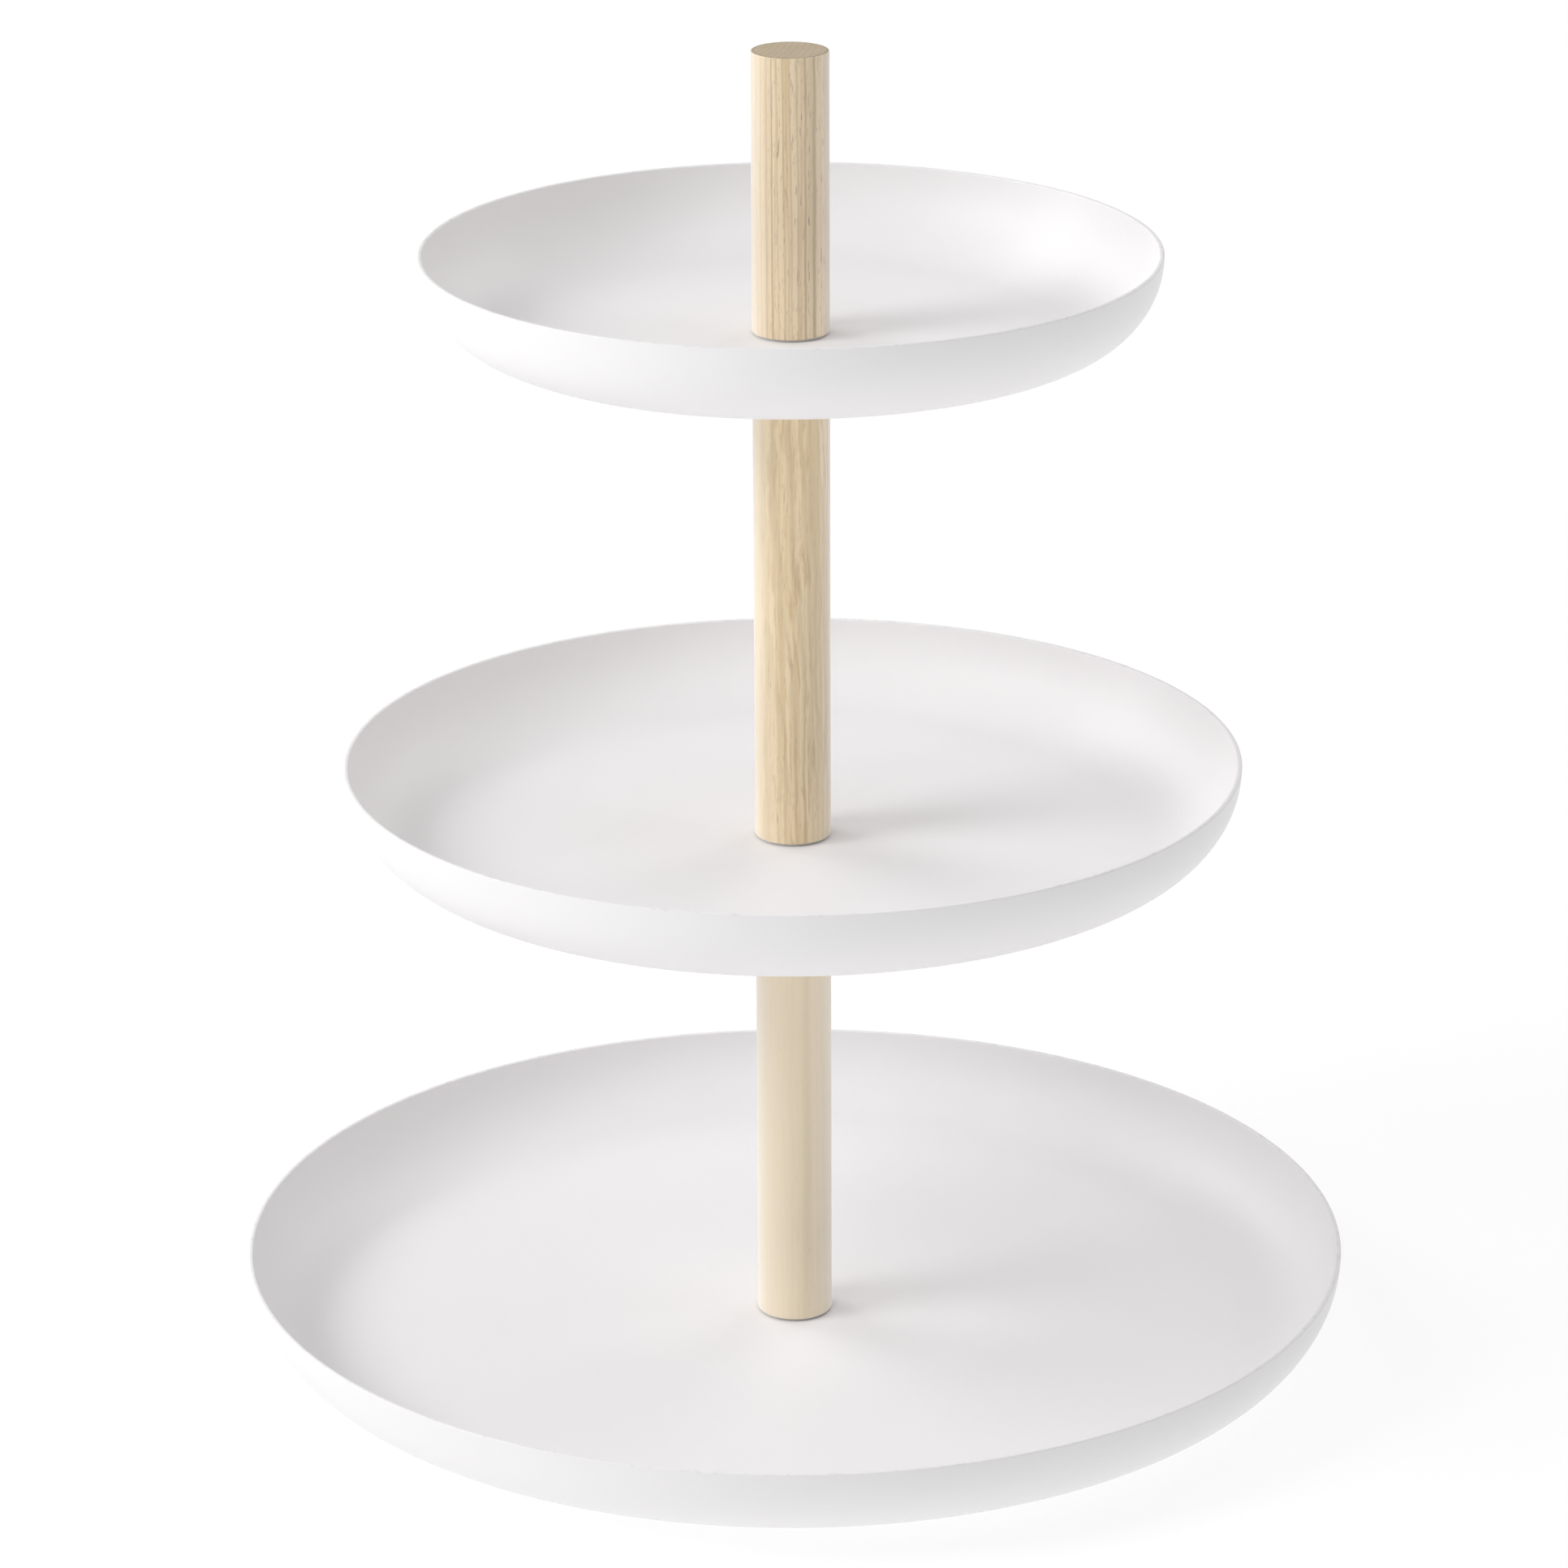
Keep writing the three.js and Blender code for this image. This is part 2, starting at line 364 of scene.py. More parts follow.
class Finish:
    """A Principled material being built: every node comes from add()."""

    def __init__(self, name):
        self.material = bpy.data.materials.new(name)
        self.material.use_nodes = True
        self.tree = self.material.node_tree
        self.tree.nodes.clear()
        self.here = self.add("ShaderNodeTexCoord", output="Object")

    def add(self, kind, settings=None, inputs=None, output=0):
        """One node: its settings are set first, then its sockets get values or links."""
        node = self.tree.nodes.new(kind)
        for key, value in (settings or {}).items():
            setattr(node, key, value)
        for key, value in (inputs or {}).items():
            if isinstance(value, Value):
                self.tree.links.new(value.socket, node.inputs[key])
            else:
                node.inputs[key].default_value = value
        return Value(self, node.outputs[output]) if len(node.outputs) else node

    def scaled(self, per_mm, offset=(0, 0, 0)):
        """Object coordinates with so many pattern units to the millimetre along each axis."""
        scale = tuple(s / MM for s in per_mm)
        return self.add("ShaderNodeMapping", {"vector_type": "POINT"},
                        {"Vector": self.here, "Location": offset, "Scale": scale})

    def noise(self, per_mm, offset=(0, 0, 0), detail=2.0, rough=0.5, twist=0.0):
        """Smooth noise from 0 to 1, with its own grain size along each axis."""
        per_mm = (per_mm,) * 3 if isinstance(per_mm, (int, float)) else per_mm
        return self.add("ShaderNodeTexNoise", {"noise_dimensions": "3D", "normalize": True},
                        {"Vector": self.scaled(per_mm, offset), "Scale": 1.0, "Detail": detail,
                         "Roughness": rough, "Distortion": twist})

    def step(self, value, low, high, bottom=0.0, top=1.0):
        """A smooth step: bottom below low, top above high."""
        return self.add("ShaderNodeMapRange", {"interpolation_type": "SMOOTHSTEP"},
                        {"Value": value, "From Min": low, "From Max": high,
                         "To Min": bottom, "To Max": top})

    def spread(self, value, low, high):
        """A value of 0 to 1 carried evenly onto low to high."""
        return self.add("ShaderNodeMapRange", {"clamp": True},
                        {"Value": value, "To Min": low, "To Max": high})

    def blend(self, factor, first, second):
        """Two colours mixed by a factor: the first at 0, the second at 1."""
        first, second = (c if isinstance(c, Value) else (*tuple(c)[:3], 1) for c in (first, second))
        return self.add("ShaderNodeMix", {"data_type": "RGBA"},
                        {0: factor, 6: first, 7: second}, output=2)

    def axes(self):
        """Object x, y and z in millimetres."""
        node = self.scaled((1, 1, 1))
        return [self.add("ShaderNodeSeparateXYZ", None, {0: node}, output=i) for i in range(3)]

    def bump(self, height, depth, normal=None):
        """Relief from a height of 0 to 1 over a depth in metres."""
        inputs = {"Strength": 1.0, "Distance": depth, "Height": height}
        if normal is not None:
            inputs["Normal"] = normal
        return self.add("ShaderNodeBump", None, inputs)

    def done(self, clear_where=None, **sockets):
        """Joins the Principled shader to the output, clear where asked, and gives the material."""
        named = {key.replace("_", " ").title().replace("Ior", "IOR"): v for key, v in sockets.items()}
        for key in ("Base Color", "Emission Color"):
            if key in named and not isinstance(named[key], Value):
                named[key] = (*tuple(named[key])[:3], 1)
        shader = self.add("ShaderNodeBsdfPrincipled", None, named)
        if clear_where is not None:
            clear = self.add("ShaderNodeBsdfTransparent")
            shader = self.add("ShaderNodeMixShader", None, {0: clear_where, 1: shader, 2: clear})
        self.add("ShaderNodeOutputMaterial", None, {"Surface": shader})
        return self.material


def powder_coat(name, settings, seed, rim):
    """White powder coat: fine peel, faint mottling, light scuffs and a thinner coat at the rim."""
    f = Finish(name)
    z = f.axes()[2]
    mottle = f.noise(0.035, (seed, 0, 0), detail=3)
    patches = f.noise(0.3, (0, seed, 0), detail=2)
    speck = f.step(f.noise(2.6, (seed, seed, 0), detail=1), 0.74, 0.8)
    scuff_a = f.step(f.noise((0.02, 1.3, 0.3), (0, 0, seed), detail=4, twist=0.6), 0.62, 0.72)
    scuff_b = f.step(f.noise((1.1, 0.03, 0.3), (seed, 3, 0), detail=4, twist=0.8), 0.63, 0.73)
    scuffs = (scuff_a + scuff_b) * f.step(mottle, 0.45, 0.7)
    base = np.array(settings.coat)
    tone = f.blend(f.spread(mottle, 0, 1), base * 0.985, np.minimum(base * 1.012, 1))
    tone = f.blend(patches * 0.5, tone, base * np.array((0.985, 0.986, 0.99)))
    tone = f.blend(speck * 0.12, tone, (0.5, 0.5, 0.49))
    rubbed = f.step(f.noise(0.5, (seed, 1, 2), detail=3), 0.5, 0.75)
    edge = f.step(z, rim / MM - 0.45, rim / MM - 0.05) * rubbed
    tone = f.blend(edge * 0.22, tone, (0.55, 0.55, 0.545))
    rough = f.spread(patches, settings.gloss - 0.05, settings.gloss + 0.05) + scuffs * 0.06 - edge * 0.1
    peel = f.noise(1.15, (0, 0, seed), detail=2, rough=0.45)
    grit = f.noise(5.5, (seed, 0, 7), detail=1)
    relief = f.bump(peel * 0.55 + grit * 0.45, 0.035 * MM)
    relief = f.bump(f.noise(0.03, (seed, 5, 0), detail=1), 0.12 * MM, relief)
    return f.done(base_color=tone, roughness=rough, normal=relief, metallic=0.0,
                  specular_ior_level=0.45)


# How each post's wood was cut, in millimetres. The pith is where the tree's middle lay, and rings
# are spaced round it, wander, ripple and lean. Early is the share of a ring that stays pale, and
# deep is how much darker the rest is than the ring colour. Rings, streaks, strokes, pores and fibre
# say how strongly each shows. A pair of x values says where the marks go from a third to full
# strength, so that the left side stays pale: partly where the grain lies, partly a painted highlight
# where the lamps at the left light the post. The band is one darker layer: its middle, half width
# and strength. Tint is the board's own colour.
GRAIN = {
    "lower": dict(
        seed=11.3, pith=(-74, 31), spacing=5.2, wander=4.0, ripple=0.7, lean=0.012,
        early=0.15, deep=1.0, rings=0.10, streaks=0.10, strokes=0.06, pores=0.10, fibre=0.25,
        grain_and_painted_highlight=(-2.0, 4.5), band=(3.2, 1.0, 0.24), tint=(1.12, 1.105, 1.02)),
    "middle": dict(
        seed=4.1, pith=(-30, -46), spacing=2.1, wander=5.5, ripple=2.6, lean=0.03,
        early=0.3, deep=0.82, rings=0.60, streaks=0.70, strokes=0.95, pores=0.45, fibre=0.5,
        grain_and_painted_highlight=(-7.5, -1.0), band=(4.6, 1.3, 0.36), tint=(1.10, 1.02, 0.79)),
    "upper": dict(
        seed=23.7, pith=(-58, 12), spacing=1.6, wander=2.6, ripple=0.8, lean=0.006,
        early=0.5, deep=0.8, rings=1.5, streaks=0.85, strokes=0.30, pores=1.0, fibre=0.45,
        grain_and_painted_highlight=(-6.5, 0.0), band=(4.9, 1.9, 0.30), tint=(1.09, 1.01, 0.84)),
}


def along_grain(f, shift, ripple):
    """Noise pushed sideways with the rings, so that every mark follows one grain."""
    x, y, z = f.axes()
    moved = f.add("ShaderNodeCombineXYZ", None,
                  {0: x + shift * min(1.0, ripple), 1: y + shift * 0.4, 2: z})

    def pattern(per_mm, offset, detail):
        spot = f.add("ShaderNodeMapping", {"vector_type": "POINT"},
                     {"Vector": moved, "Location": offset, "Scale": per_mm})
        return f.add("ShaderNodeTexNoise", {"noise_dimensions": "3D", "normalize": True},
                     {"Vector": spot, "Scale": 1.0, "Detail": float(detail), "Roughness": 0.5,
                      "Distortion": 0.0})
    return pattern


def turned_wood(name, settings, grain, low):
    """Pale open-grained wood: rings round a pith outside the post, streaks, strokes, pores, fibres.

    A ring's number is the distance from the pith over the spacing, and its phase runs from 0 to 1
    across it. The late wood is dark and fades in and out along the post.
    """
    f = Finish(name)
    x, y, z = f.axes()
    seed = grain["seed"]
    wander = f.noise((0.05, 0.05, 0.008), (seed, 0, 0), detail=2) - 0.5
    ripple = f.noise((0.2, 0.2, 0.06), (0, seed, 0), detail=3) - 0.5
    shift = wander * grain["wander"] + ripple * grain["ripple"]
    across = x - grain["pith"][0] + shift + z * grain["lean"]
    along = y - grain["pith"][1] + shift * 0.6
    reach = (across * across + along * along) ** 0.5
    ring = reach / grain["spacing"] + f.noise((0.09, 0.09, 0.004), (seed, 4, 0), detail=1) * 1.6
    phase = ring.math("FRACT")
    year = f.add("ShaderNodeTexWhiteNoise", {"noise_dimensions": "1D"}, {"W": ring.math("FLOOR")})
    late = f.step(phase, grain["early"], 0.8) * f.step(phase, 0.82, 1.0, 1.0, 0.0)
    # painted highlight: rings, streaks, strokes, pores and flecks fade to a third on the left, the side
    # the lamps light, so that side stays pale
    grain_and_painted_highlight = f.step(x + y * -0.25, *grain["grain_and_painted_highlight"], 0.3, 1.0)
    broken = f.spread(f.noise((0.5, 0.5, 0.03), (seed, 0, 8), detail=2), 0.35, 1.25)
    late = late * f.spread(year, 0.3, 1.0) * broken * grain_and_painted_highlight
    wavy = along_grain(f, shift, grain["ripple"])
    fibre = f.noise((2.6, 2.6, 0.035), (seed, 0, 3), detail=4, rough=0.62)
    streak = f.step(wavy((0.62, 0.62, 0.007), (0, 2, seed), 3), 0.42, 0.66) * grain_and_painted_highlight
    stroke = f.step(wavy((1.25, 1.25, 0.085), (5, seed, 1), 3), 0.5, 0.72) * grain_and_painted_highlight
    pores = f.step(wavy((3.1, 3.1, 0.26), (seed, 7, 0), 2), 0.60, 0.70) * (1 - late * 0.8) * grain_and_painted_highlight
    fleck = f.step(wavy((1.7, 1.7, 0.20), (3, seed, 0), 1), 0.69, 0.76) * grain_and_painted_highlight
    middle, half, strength = grain["band"]
    off = (x + shift * 0.25 - middle) / half
    rise = f.step(z, low / MM, low / MM + 30, 0.35, 1.0)
    band = f.step(off.math("ABSOLUTE"), 0.0, 1.5, 1.0, 0.0) * rise

    pale = np.array(settings.pale) * grain["tint"]
    dark = np.array(settings.dark) * grain["tint"]
    pore = tuple(settings.pore)
    tone = f.blend(f.step(fibre, 0.3, 0.75) * grain["fibre"], pale * 0.94, np.minimum(pale * 1.1, 1))
    tone = f.blend(streak * grain["streaks"], tone, dark * np.array((1.12, 1.12, 1.08)))
    tone = f.blend(stroke * grain["strokes"], tone, dark * np.array((1.1, 1.05, 0.98)))
    tone = f.blend(late * grain["rings"], tone, dark * grain["deep"])
    tone = f.blend(band * strength, tone, dark)
    tone = f.blend(pores * grain["pores"] * 0.6, tone, pore)
    tone = f.blend(fleck * grain["pores"] * 0.85, tone, pore)
    worn = f.noise(0.12, (seed, 9, 1), detail=3)
    polished = f.step(worn, 0.5, 0.7)
    rough = f.spread(fibre, 0.46, 0.62) + late * -0.05 + pores * 0.1 + polished * -0.05
    relief = f.bump(1 - pores * 0.7 - fleck * 0.7, 0.05 * MM)
    relief = f.bump(fibre * 0.7 + late * 0.3, 0.015 * MM, relief)
    return f.done(base_color=tone, roughness=rough, normal=relief, specular_ior_level=0.5,
                  coat_weight=f.spread(worn, settings.lacquer, settings.lacquer * 0.8),
                  coat_roughness=0.5, sheen_weight=settings.sheen, sheen_roughness=0.75)


def end_grain(name, settings, grain, radius):
    """Sawn end of a post: the rings as arcs, open pores as dots, and painted shade darkening the edge.
    """
    f = Finish(name)
    x, y, _ = f.axes()
    seed = grain["seed"]
    wander = f.noise(0.09, (seed, 0, 0), detail=2) - 0.5
    across = x - grain["pith"][0] + wander * 2
    along = y - grain["pith"][1]
    phase = ((across * across + along * along) ** 0.5 / grain["spacing"]).math("FRACT")
    late = f.step(phase, 0.3, 0.8) * f.step(phase, 0.85, 1.0, 1.0, 0.0)
    dots = f.step(f.noise(2.6, (seed, 1, 1), detail=2), 0.54, 0.68)
    saw = f.noise((0.25, 3.5, 1.0), (2, seed, 0), detail=3)
    stain = f.noise(0.2, (seed, 2, 2), detail=3)
    # painted shade: the end is darkened over its outer millimetre, standing in for the shading of the
    # rounded edge
    rim = f.step((x * x + y * y) ** 0.5, radius / MM - 1.3, radius / MM - 0.3)
    base = np.array(settings.end)
    tone = f.blend(f.step(stain, 0.35, 0.7), base, base * np.array((0.93, 0.92, 0.88)))
    tone = f.blend(late * 0.5, tone, base * 0.8)
    tone = f.blend(dots * 0.45, tone, base * 0.55)
    tone = f.blend(saw * 0.25, tone, base * 1.12)
    # painted shade at the edge of the end, darker towards the rim
    tone = f.blend(rim * 0.45, tone, base * 0.6)
    relief = f.bump(1 - dots * 0.6 + saw * 0.3, 0.03 * MM)
    return f.done(base_color=tone, roughness=f.spread(saw, 0.62, 0.8), normal=relief,
                  specular_ior_level=0.3)


def plated_steel(name, settings):
    """Bright zinc plating: cloudy tint, fine rolled lines and small handling marks."""
    f = Finish(name)
    cloud = f.noise(0.35, detail=4)
    lines = f.noise((0.4, 0.4, 9.0), (1, 0, 0), detail=3, twist=0.4)
    marks = f.step(f.noise((0.5, 4.0, 4.0), (0, 6, 0), detail=3, twist=1.0), 0.62, 0.68)
    zinc = np.array(settings.zinc)
    tone = f.blend(f.step(cloud, 0.35, 0.65), zinc * 0.93, zinc * np.array((1.03, 1.02, 0.98)))
    tone = f.blend(marks * 0.3, tone, zinc * 0.7)
    rough = f.spread(cloud, 0.24, 0.38) + marks * 0.14
    relief = f.bump(lines, 0.006 * MM)
    return f.done(base_color=tone, metallic=1.0, roughness=rough, normal=relief)


def turned_brass(name, settings):
    """Machined brass: fine tool rings, faint tarnish and dull spots."""
    f = Finish(name)
    x, y, z = f.axes()
    reach = (x * x + y * y) ** 0.5
    rings = ((reach + z * 0.7) * 42).math("SINE")
    tarnish = f.noise(0.4, (3, 0, 0), detail=4)
    brass = np.array(settings.brass)
    tone = f.blend(f.step(tarnish, 0.4, 0.7), brass, brass * np.array((0.82, 0.74, 0.62)))
    rough = f.spread(tarnish, 0.24, 0.42)
    relief = f.bump(rings * 0.5 + 0.5, 0.004 * MM)
    return f.done(base_color=tone, metallic=1.0, roughness=rough, normal=relief)


def seat_rubber(name, settings):
    """Matte pale rubber: fine grain, dust and a paler bloom."""
    f = Finish(name)
    grain = f.noise(4.5, detail=3)
    bloom = f.noise(0.5, (2, 0, 0), detail=3)
    rubber = np.array(settings.rubber)
    tone = f.blend(f.step(bloom, 0.45, 0.75) * 0.5, rubber, rubber * 1.2)
    tone = f.blend(f.step(grain, 0.66, 0.72) * 0.3, tone, rubber * 0.6)
    rough = f.spread(grain, 0.68, 0.86)
    return f.done(base_color=tone, roughness=rough, normal=f.bump(grain, 0.02 * MM))


def clear_rubber(name, settings):
    """Soft clear bumper: slightly cloudy, with a little dust caught on its face."""
    f = Finish(name)
    cloud = f.noise(0.6, detail=3)
    dust = f.step(f.noise(4.0, (1, 5, 0), detail=2), 0.68, 0.78)
    bumper = np.array(settings.bumper)
    tone = f.blend(f.step(cloud, 0.35, 0.7), bumper, bumper * np.array((0.96, 0.97, 0.95)))
    tone = f.blend(dust * 0.22, tone, (0.55, 0.53, 0.5))
    rough = f.spread(cloud, 0.2, 0.32) + dust * 0.25
    return f.done(base_color=tone, roughness=rough, normal=f.bump(cloud, 0.008 * MM),
                  transmission_weight=0.35, IOR=1.49)


# ---------------------------------------------------------------- pieces


class CAKE_OT_trays(bpy.types.Operator):
    """Build the three pressed trays: flat floor, quarter-round bend, upright rounded rim"""
    bl_idname = "cake.trays"
    bl_label = "Trays"

    def execute(self, context):
        s = context.scene.cake_trays
        for number, node in enumerate(TRAYS):
            low, high = span_of(node)
            radius = radius_of(node)
            inside = s.bend - s.sheet
            section = outline([
                (s.hole, low, s.hole_edge),
                (radius, low, s.bend),
                (radius, high, s.edge),
                (radius - s.sheet, high, s.edge),
                (radius - s.sheet, low + s.sheet, inside),
                (s.hole, low + s.sheet, s.hole_edge),
            ], steps=20, reach=5 * MM)
            piece = skin(f"tray_{number + 1}", rows_of(section, s.sides), loop=True)
            seed = 3.7 * number + 1.3
            place(piece, node, powder_coat(f"powder_coat_{number + 1}", s, seed, high))
        return {"FINISHED"}


class CAKE_OT_posts(bpy.types.Operator):
    """Build the three turned posts with their rounded ends and bores"""
    bl_idname = "cake.posts"
    bl_label = "Posts"

    def execute(self, context):
        s = context.scene.cake_posts
        for tier in TIERS:
            node = f"{tier}_post"
            low, high = span_of(node)
            radius = radius_of(node)
            corners = [
                (0, low + s.insert_depth, 0),
                (s.insert_bore, low + s.insert_depth, s.bore_edge),
                (s.insert_bore, low, s.bore_edge),
                (radius, low, s.edge),
                (radius, high, s.edge),
            ]
            if f"{tier}_stud" in frame["nodes"]:
                corners += [
                    (s.stud_bore, high, s.bore_edge),
                    (s.stud_bore, high - s.stud_depth, s.bore_edge),
                    (0, high - s.stud_depth, 0),
                ]
            else:
                corners += [(0, high, 0)]
            section = outline(corners, steps=8, reach=4 * MM, closed=False)
            piece = skin(f"post_{tier}", rows_of(section, s.sides))
            place(piece, node, turned_wood(f"wood_{tier}", s, GRAIN[tier], low))
            self.face_ends(piece, end_grain(f"wood_{tier}_end", s, GRAIN[tier], radius))
        return {"FINISHED"}

    def face_ends(self, piece, finish):
        """Gives the sawn ends their finish: the faces that look nearly straight up or down."""
        mesh = piece.data
        mesh.materials.append(finish)
        normals = np.empty(len(mesh.polygons) * 3)
        mesh.polygons.foreach_get("normal", normals)
        least = 0.8  # least z of a sawn end's normal, up or down
        level = np.abs(normals.reshape(-1, 3)[:, 2]) > least
        mesh.polygons.foreach_set("material_index", level.astype(np.int32))
        mesh.update()


class CAKE_OT_seats(bpy.types.Operator):
    """Build the soft washers above and below the trays"""
    bl_idname = "cake.seats"
    bl_label = "Seat washers"

    def execute(self, context):
        s = context.scene.cake_fixings
        finish = seat_rubber("seat_rubber", s)
        hole = context.scene.cake_trays.hole
        for node in sorted(n for n in frame["nodes"] if n.endswith("_seat")):
            place(washer(f"washer_{node}", node, hole, s.seat_edge), node, finish)
        return {"FINISHED"}


def washer(name, node, hole, edge):
    """A flat ring with rounded edges, as wide and thick as its CAD node."""
    low, high = span_of(node)
    rim = radius_of(node)
    section = outline([(hole, low, edge), (rim, low, edge), (rim, high, edge), (hole, high, edge)],
                      reach=1.2 * MM)
    return skin(name, rows_of(section, WASHER_SIDES), loop=True)


class CAKE_OT_inserts(bpy.types.Operator):
    """Build the threaded inserts: machine thread inside, coarse wood thread outside"""
    bl_idname = "cake.inserts"
    bl_label = "Inserts"

    def execute(self, context):
        s = context.scene.cake_fixings
        finish = turned_brass("turned_brass", s)
        bore = THREAD_RADIUS + s.slack
        outer_end, inner_end = 0.5 * MM, 0.3 * MM  # plain ends of the two threads
        flat = np.ones(THREAD_SIDES)
        for tier in TIERS:
            node = f"{tier}_insert"
            low, high = span_of(node)
            outer = radius_of(node)
            up = thread_rows(low + outer_end, high - outer_end, s.wood_pitch, 16)
            down = thread_rows(low + inner_end, high - inner_end, s.pitch)[::-1]
            outside = outer - s.wood_depth * (1 - ridge(up, THREAD_SIDES, s.wood_pitch, 0.1))
            inside = bore - s.depth * (1 - ridge(down, THREAD_SIDES, s.pitch))
            wide, narrow = outer - 0.4 * MM, bore + 0.2 * MM
            radii = np.concatenate([[flat * narrow, flat * wide], outside,
                                    [flat * wide, flat * narrow], inside])
            heights = np.concatenate([[low, low], up, [high, high], down])
            piece = skin(f"insert_{tier}", turn(radii, heights, THREAD_SIDES), loop=True)
            place(piece, node, finish)
        return {"FINISHED"}


class CAKE_OT_studs(bpy.types.Operator):
    """Build the hanger bolts: coarse pointed thread buried in wood, machine thread standing up"""
    bl_idname = "cake.studs"
    bl_label = "Studs"

    def execute(self, context):
        s = context.scene.cake_fixings
        finish = plated_steel("plated_stud", s)
        point = 4 * MM  # length of the pointed end
        neck = 1 * MM  # plain neck between the two threads
        flat = np.ones((1, THREAD_SIDES))
        for tier in TIERS[:2]:
            node = f"{tier}_stud"
            low, high = span_of(node)
            radius = radius_of(node)
            waist = span_of(f"{tier}_post")[1] - neck
            buried = thread_rows(low + 0.2 * MM, waist - neck, s.wood_pitch, 18)
            taper = np.clip((buried - low) / point, 0.2, 1)[:, None]
            cut = s.wood_depth * (1 - ridge(buried, THREAD_SIDES, s.wood_pitch, 0.08))
            thread, thread_heights = machine_thread(s, waist + neck * 0.5, high, radius)
            root = flat * (radius - s.depth)
            radii = np.concatenate([flat * 0, (radius - cut) * taper, root, root, thread, flat * 0])
            heights = np.concatenate([[low], buried, [waist - 0.6 * neck, waist],
                                      thread_heights, [high]])
            place(skin(f"stud_{tier}", turn(radii, heights, THREAD_SIDES)), node, finish)
        return {"FINISHED"}


def machine_thread(settings, low, high, radius, sides=THREAD_SIDES):
    """Radii and heights of a machine thread from low to a chamfered tip at high.

    The radius is the least of the thread's own, a slope in from the tip and a slope up from
    the root at the start.
    """
    heights = thread_rows(low, high, settings.pitch)
    radii = radius - settings.depth * (1 - ridge(heights, sides, settings.pitch))
    tip = radius - settings.tip + np.clip(high - heights, 0, None)
    start = radius - settings.depth + np.clip(heights - low, 0, None)
    return np.minimum(radii, np.minimum(tip, start)[:, None]), heights


class CAKE_OT_base(bpy.types.Operator):
    """Build the screw and washer under the bottom tray"""
    bl_idname = "cake.base"
    bl_label = "Base screw and washer"

    def execute(self, context):
        s = context.scene.cake_fixings
        finish = plated_steel("plated_base", s)
        place(self.screw(s), "base_screw", finish)
        hole = context.scene.cake_trays.hole
        place(washer("base_fixing_washer", "base_washer", hole, s.washer_edge), "base_washer", finish)
        return {"FINISHED"}

    def screw(self, s):
        """A screw standing on its head: rows from the socket's floor, over the head, up the thread.

        The socket's rows are hexagons and the others are round.
        """
        low, high = span_of("base_screw")
        head = radius_of("base_screw")
        seat = low + s.head
        start = seat + 0.6 * MM  # where the thread starts
        cap = outline([(0, low, 0), (head, low, 0.5 * MM), (head, seat, 0.25 * MM),
                       (THREAD_RADIUS, seat, 0.15 * MM), (THREAD_RADIUS - s.depth, start, 0)],
                      closed=False, reach=1.5 * MM)
        flats = hexagon(s.socket, WASHER_SIDES)
        mouth = flats + 0.25 * MM
        outside_mouth = (cap[:, 0] > mouth.max() + 0.2 * MM) | (cap[:, 1] > low + 0.001 * MM)
        cap = cap[outside_mouth]
        floor_z = low + s.socket_depth
        socket_heights = [floor_z + 0.25 * MM, floor_z + 0.15 * MM, floor_z, low + 0.2 * MM, low]
        thread, thread_heights = machine_thread(s, start, high, THREAD_RADIUS, WASHER_SIDES)
        radii = np.concatenate([[flats * 0, flats * 0.35, flats, flats, mouth],
                                cap[:, :1] * np.ones(WASHER_SIDES), thread, [flats * 0]])
        heights = np.concatenate([socket_heights, cap[:, 1], thread_heights, [high]])
        return skin("base_fixing_screw", turn(radii, heights, WASHER_SIDES))


class CAKE_OT_feet(bpy.types.Operator):
    """Build the four stick-on bumpers: a flat-topped dome on a thin straight edge"""
    bl_idname = "cake.feet"
    bl_label = "Feet"
    flat = 0.42  # where on a quarter turn the dome leaves its flat face
    bulge = 0.75  # the dome's radius goes as sine to this power, and its height as cosine
    domed = 0.82  # share of the foot's height that is dome

    def execute(self, context):
        finish = clear_rubber("clear_bumper", context.scene.cake_fixings)
        for node in sorted(n for n in frame["nodes"] if n.startswith("foot_")):
            low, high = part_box(node)
            centre = ((low.x + high.x) / 2, (low.y + high.y) / 2)
            radius = (high.x - low.x) / 2
            lift = high.z - low.z
            a = np.linspace(self.flat, 1.0, 12) * math.pi / 2
            dome_r = radius * np.sin(a) ** self.bulge
            rise = (math.cos(a[0]) - np.cos(a)) / math.cos(a[0])
            dome_z = low.z + lift * self.domed * rise
            radii = np.concatenate([[0, dome_r[0] * 0.5], dome_r, [radius, radius * 0.5, 0]])
            heights = np.concatenate([[low.z, low.z], dome_z, [high.z, high.z, high.z]])
            piece = skin(f"bumper_{node[-1]}", turn(radii, heights, FOOT_SIDES, centre))
            place(piece, node, finish)
        return {"FINISHED"}


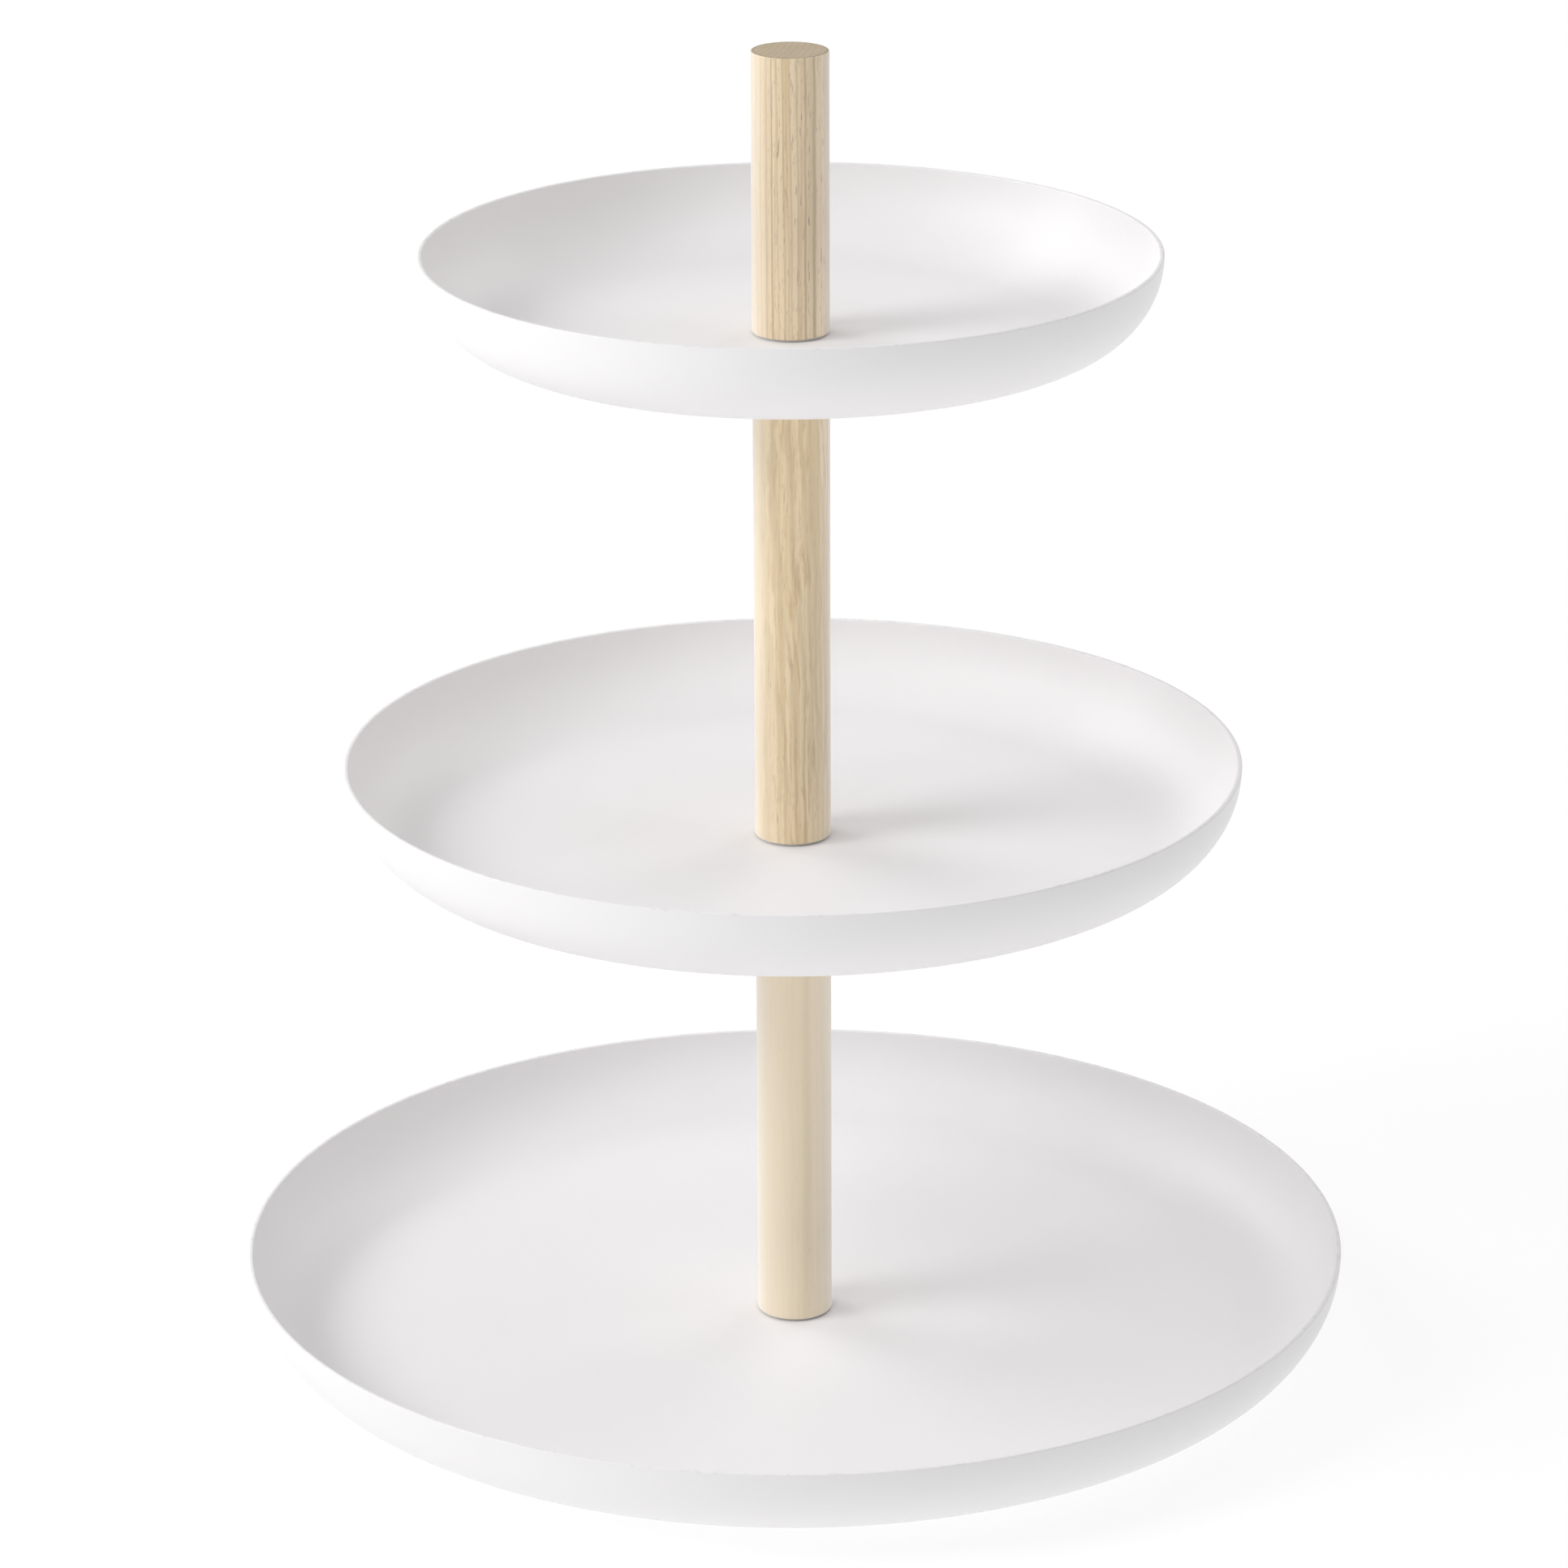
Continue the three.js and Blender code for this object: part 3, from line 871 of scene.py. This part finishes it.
class CAKE_OT_stage(bpy.types.Operator):
    """Build the floor, the even white sky, the soft lights and the camera"""
    bl_idname = "cake.stage"
    bl_label = "Stage"

    def execute(self, context):
        s = context.scene.cake_stage
        self.build_floor(s)
        self.build_sky(context.scene, s)
        self.hang_light("key_light", s.key, (0.9, 0.9), -70, 36)
        self.hang_light("low_light", s.low, (1.3, 0.8), -78, 19)
        self.hang_light("rim_light", s.rim, (1.2, 1.2), -130, 28)
        self.hang_light("top_light", s.top, (1.6, 1.6), 0, 89)
        self.hang_light("fill_light", s.fill, (1.2, 1.2), 85, 35)
        self.hang_light("back_light", s.back, (1.2, 1.2), 140, 30)
        self.hang_light("front_light", s.front, (1.3, 1.3), -30, 22)
        self.set_camera(context.scene, s)
        return {"FINISHED"}

    def build_floor(self, s):
        """A round floor, of rings about a middle point, that gives off light and so looks blank.

        It gives off a little more further out, where the lamps don't reach, and is clear from below.
        """
        sides = 96
        rings = np.array([0.2, 0.5, 1, 2, 4, 9])  # metres
        grid = turn(rings, np.zeros(len(rings)), sides)
        points = np.concatenate([grid.reshape(-1, 3), [[0, 0, 0]]])
        column = np.arange(sides)
        beside = (column + 1) % sides
        starts = np.arange(len(rings) - 1)[:, None] * sides
        quads = np.stack([starts + column, starts + sides + column, starts + sides + beside,
                          starts + beside], axis=-1).reshape(-1, 4).tolist()
        fan = np.stack([np.full(sides, len(points) - 1), column, beside], axis=-1).tolist()
        mesh = bpy.data.meshes.new("floor")
        mesh.from_pydata(points.tolist(), [], quads + fan)
        floor = bpy.data.objects.new("floor", mesh)
        bpy.context.scene.collection.objects.link(floor)
        f = Finish("plain_floor")
        below = f.add("ShaderNodeNewGeometry", output="Backfacing")
        x, y, _ = f.axes()
        near = 0.9  # share of the full glow that is left under the stand
        far = f.step((x * x + y * y) ** 0.5 * MM, 0.6, 2.0)
        shine = f.blend(far, (near, near, near), (1, 1, 1))
        floor.data.materials.append(f.done(clear_where=below, base_color=s.floor, roughness=0.9,
                                           emission_color=shine, emission_strength=s.glow / near))

    def build_sky(self, scene, s):
        """An even sky that lights the stand softly and itself looks as blank as the floor."""
        world = bpy.data.worlds.new("even_sky")
        world.use_nodes = True
        nodes, links = world.node_tree.nodes, world.node_tree.links
        lighting = nodes["Background"]
        lighting.inputs["Color"].default_value = (1, 1, 1, 1)
        lighting.inputs["Strength"].default_value = s.sky
        blank = nodes.new("ShaderNodeBackground")
        blank.inputs["Color"].default_value = (1, 1, 1, 1)
        blank.inputs["Strength"].default_value = s.blank
        seen = nodes.new("ShaderNodeLightPath")
        mix = nodes.new("ShaderNodeMixShader")
        links.new(seen.outputs["Is Camera Ray"], mix.inputs[0])
        links.new(lighting.outputs[0], mix.inputs[1])
        links.new(blank.outputs[0], mix.inputs[2])
        links.new(mix.outputs[0], nodes["World Output"].inputs["Surface"])
        scene.world = world
        scene.view_settings.view_transform = "Standard"

    def hang_light(self, name, power, size, bearing, climb):
        """An oval light aimed at the stand, its bearing in degrees from the front, left minus."""
        data = bpy.data.lights.new(name, "AREA")
        data.energy, data.shape = power, "ELLIPSE"
        data.size, data.size_y = size
        lamp = bpy.data.objects.new(name, data)
        bpy.context.scene.collection.objects.link(lamp)
        turn_by, rise = math.radians(bearing), math.radians(climb)
        away = Vector((math.sin(turn_by) * math.cos(rise), -math.cos(turn_by) * math.cos(rise),
                       math.sin(rise)))
        aim, distance = Vector((0, 0, 0.15)), 1.9  # metres
        lamp.location = aim + away * distance
        lamp.rotation_euler = away.to_track_quat("Z", "Y").to_euler()

    def set_camera(self, scene, s):
        """A camera in front of the stand, tipped down and turned a little about its view."""
        data = bpy.data.cameras.new("camera")
        data.lens, data.sensor_width = s.lens, 36
        data.shift_x, data.shift_y = s.shift
        camera = bpy.data.objects.new("camera", data)
        scene.collection.objects.link(camera)
        camera.matrix_world = (Matrix.Translation((0, -s.distance, s.height))
                               @ Matrix.Rotation(math.pi / 2 - s.pitch, 4, "X")
                               @ Matrix.Rotation(s.roll, 4, "Z"))
        scene.camera = camera


class CAKE_PT_panel(bpy.types.Panel):
    """Lists the stand's pieces and their sizes"""
    bl_label = "Cake Stand"
    bl_idname = "CAKE_PT_panel"
    bl_space_type = "VIEW_3D"
    bl_region_type = "UI"
    bl_category = "Cake Stand"

    def draw(self, context):
        for operator in OPERATORS:
            self.layout.operator(operator.bl_idname)
        for group in GROUPS:
            settings = getattr(context.scene, group)
            box = self.layout.box()
            for key in settings.__annotations__:
                box.prop(settings, key)


# ---------------------------------------------------------------- registration

OPERATORS = (CAKE_OT_stage, CAKE_OT_trays, CAKE_OT_posts, CAKE_OT_seats, CAKE_OT_inserts,
             CAKE_OT_studs, CAKE_OT_base, CAKE_OT_feet)
GROUPS = {
    "cake_trays": CakeTraySettings,
    "cake_posts": CakePostSettings,
    "cake_fixings": CakeFixingSettings,
    "cake_stage": CakeStageSettings,
}


def register():
    """Registers every class and hangs the settings on the scene."""
    for each in (*GROUPS.values(), *OPERATORS, CAKE_PT_panel):
        bpy.utils.register_class(each)
    for name, group in GROUPS.items():
        setattr(bpy.types.Scene, name, PointerProperty(type=group))


def unregister():
    """Undoes what register did."""
    for name in GROUPS:
        delattr(bpy.types.Scene, name)
    for each in reversed((*GROUPS.values(), *OPERATORS, CAKE_PT_panel)):
        bpy.utils.unregister_class(each)


def main():
    """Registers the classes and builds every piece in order."""
    register()
    bpy.ops.cake.stage()
    bpy.ops.cake.trays()
    bpy.ops.cake.posts()
    bpy.ops.cake.seats()
    bpy.ops.cake.inserts()
    bpy.ops.cake.studs()
    bpy.ops.cake.base()
    bpy.ops.cake.feet()


if __name__ == "__main__":
    main()
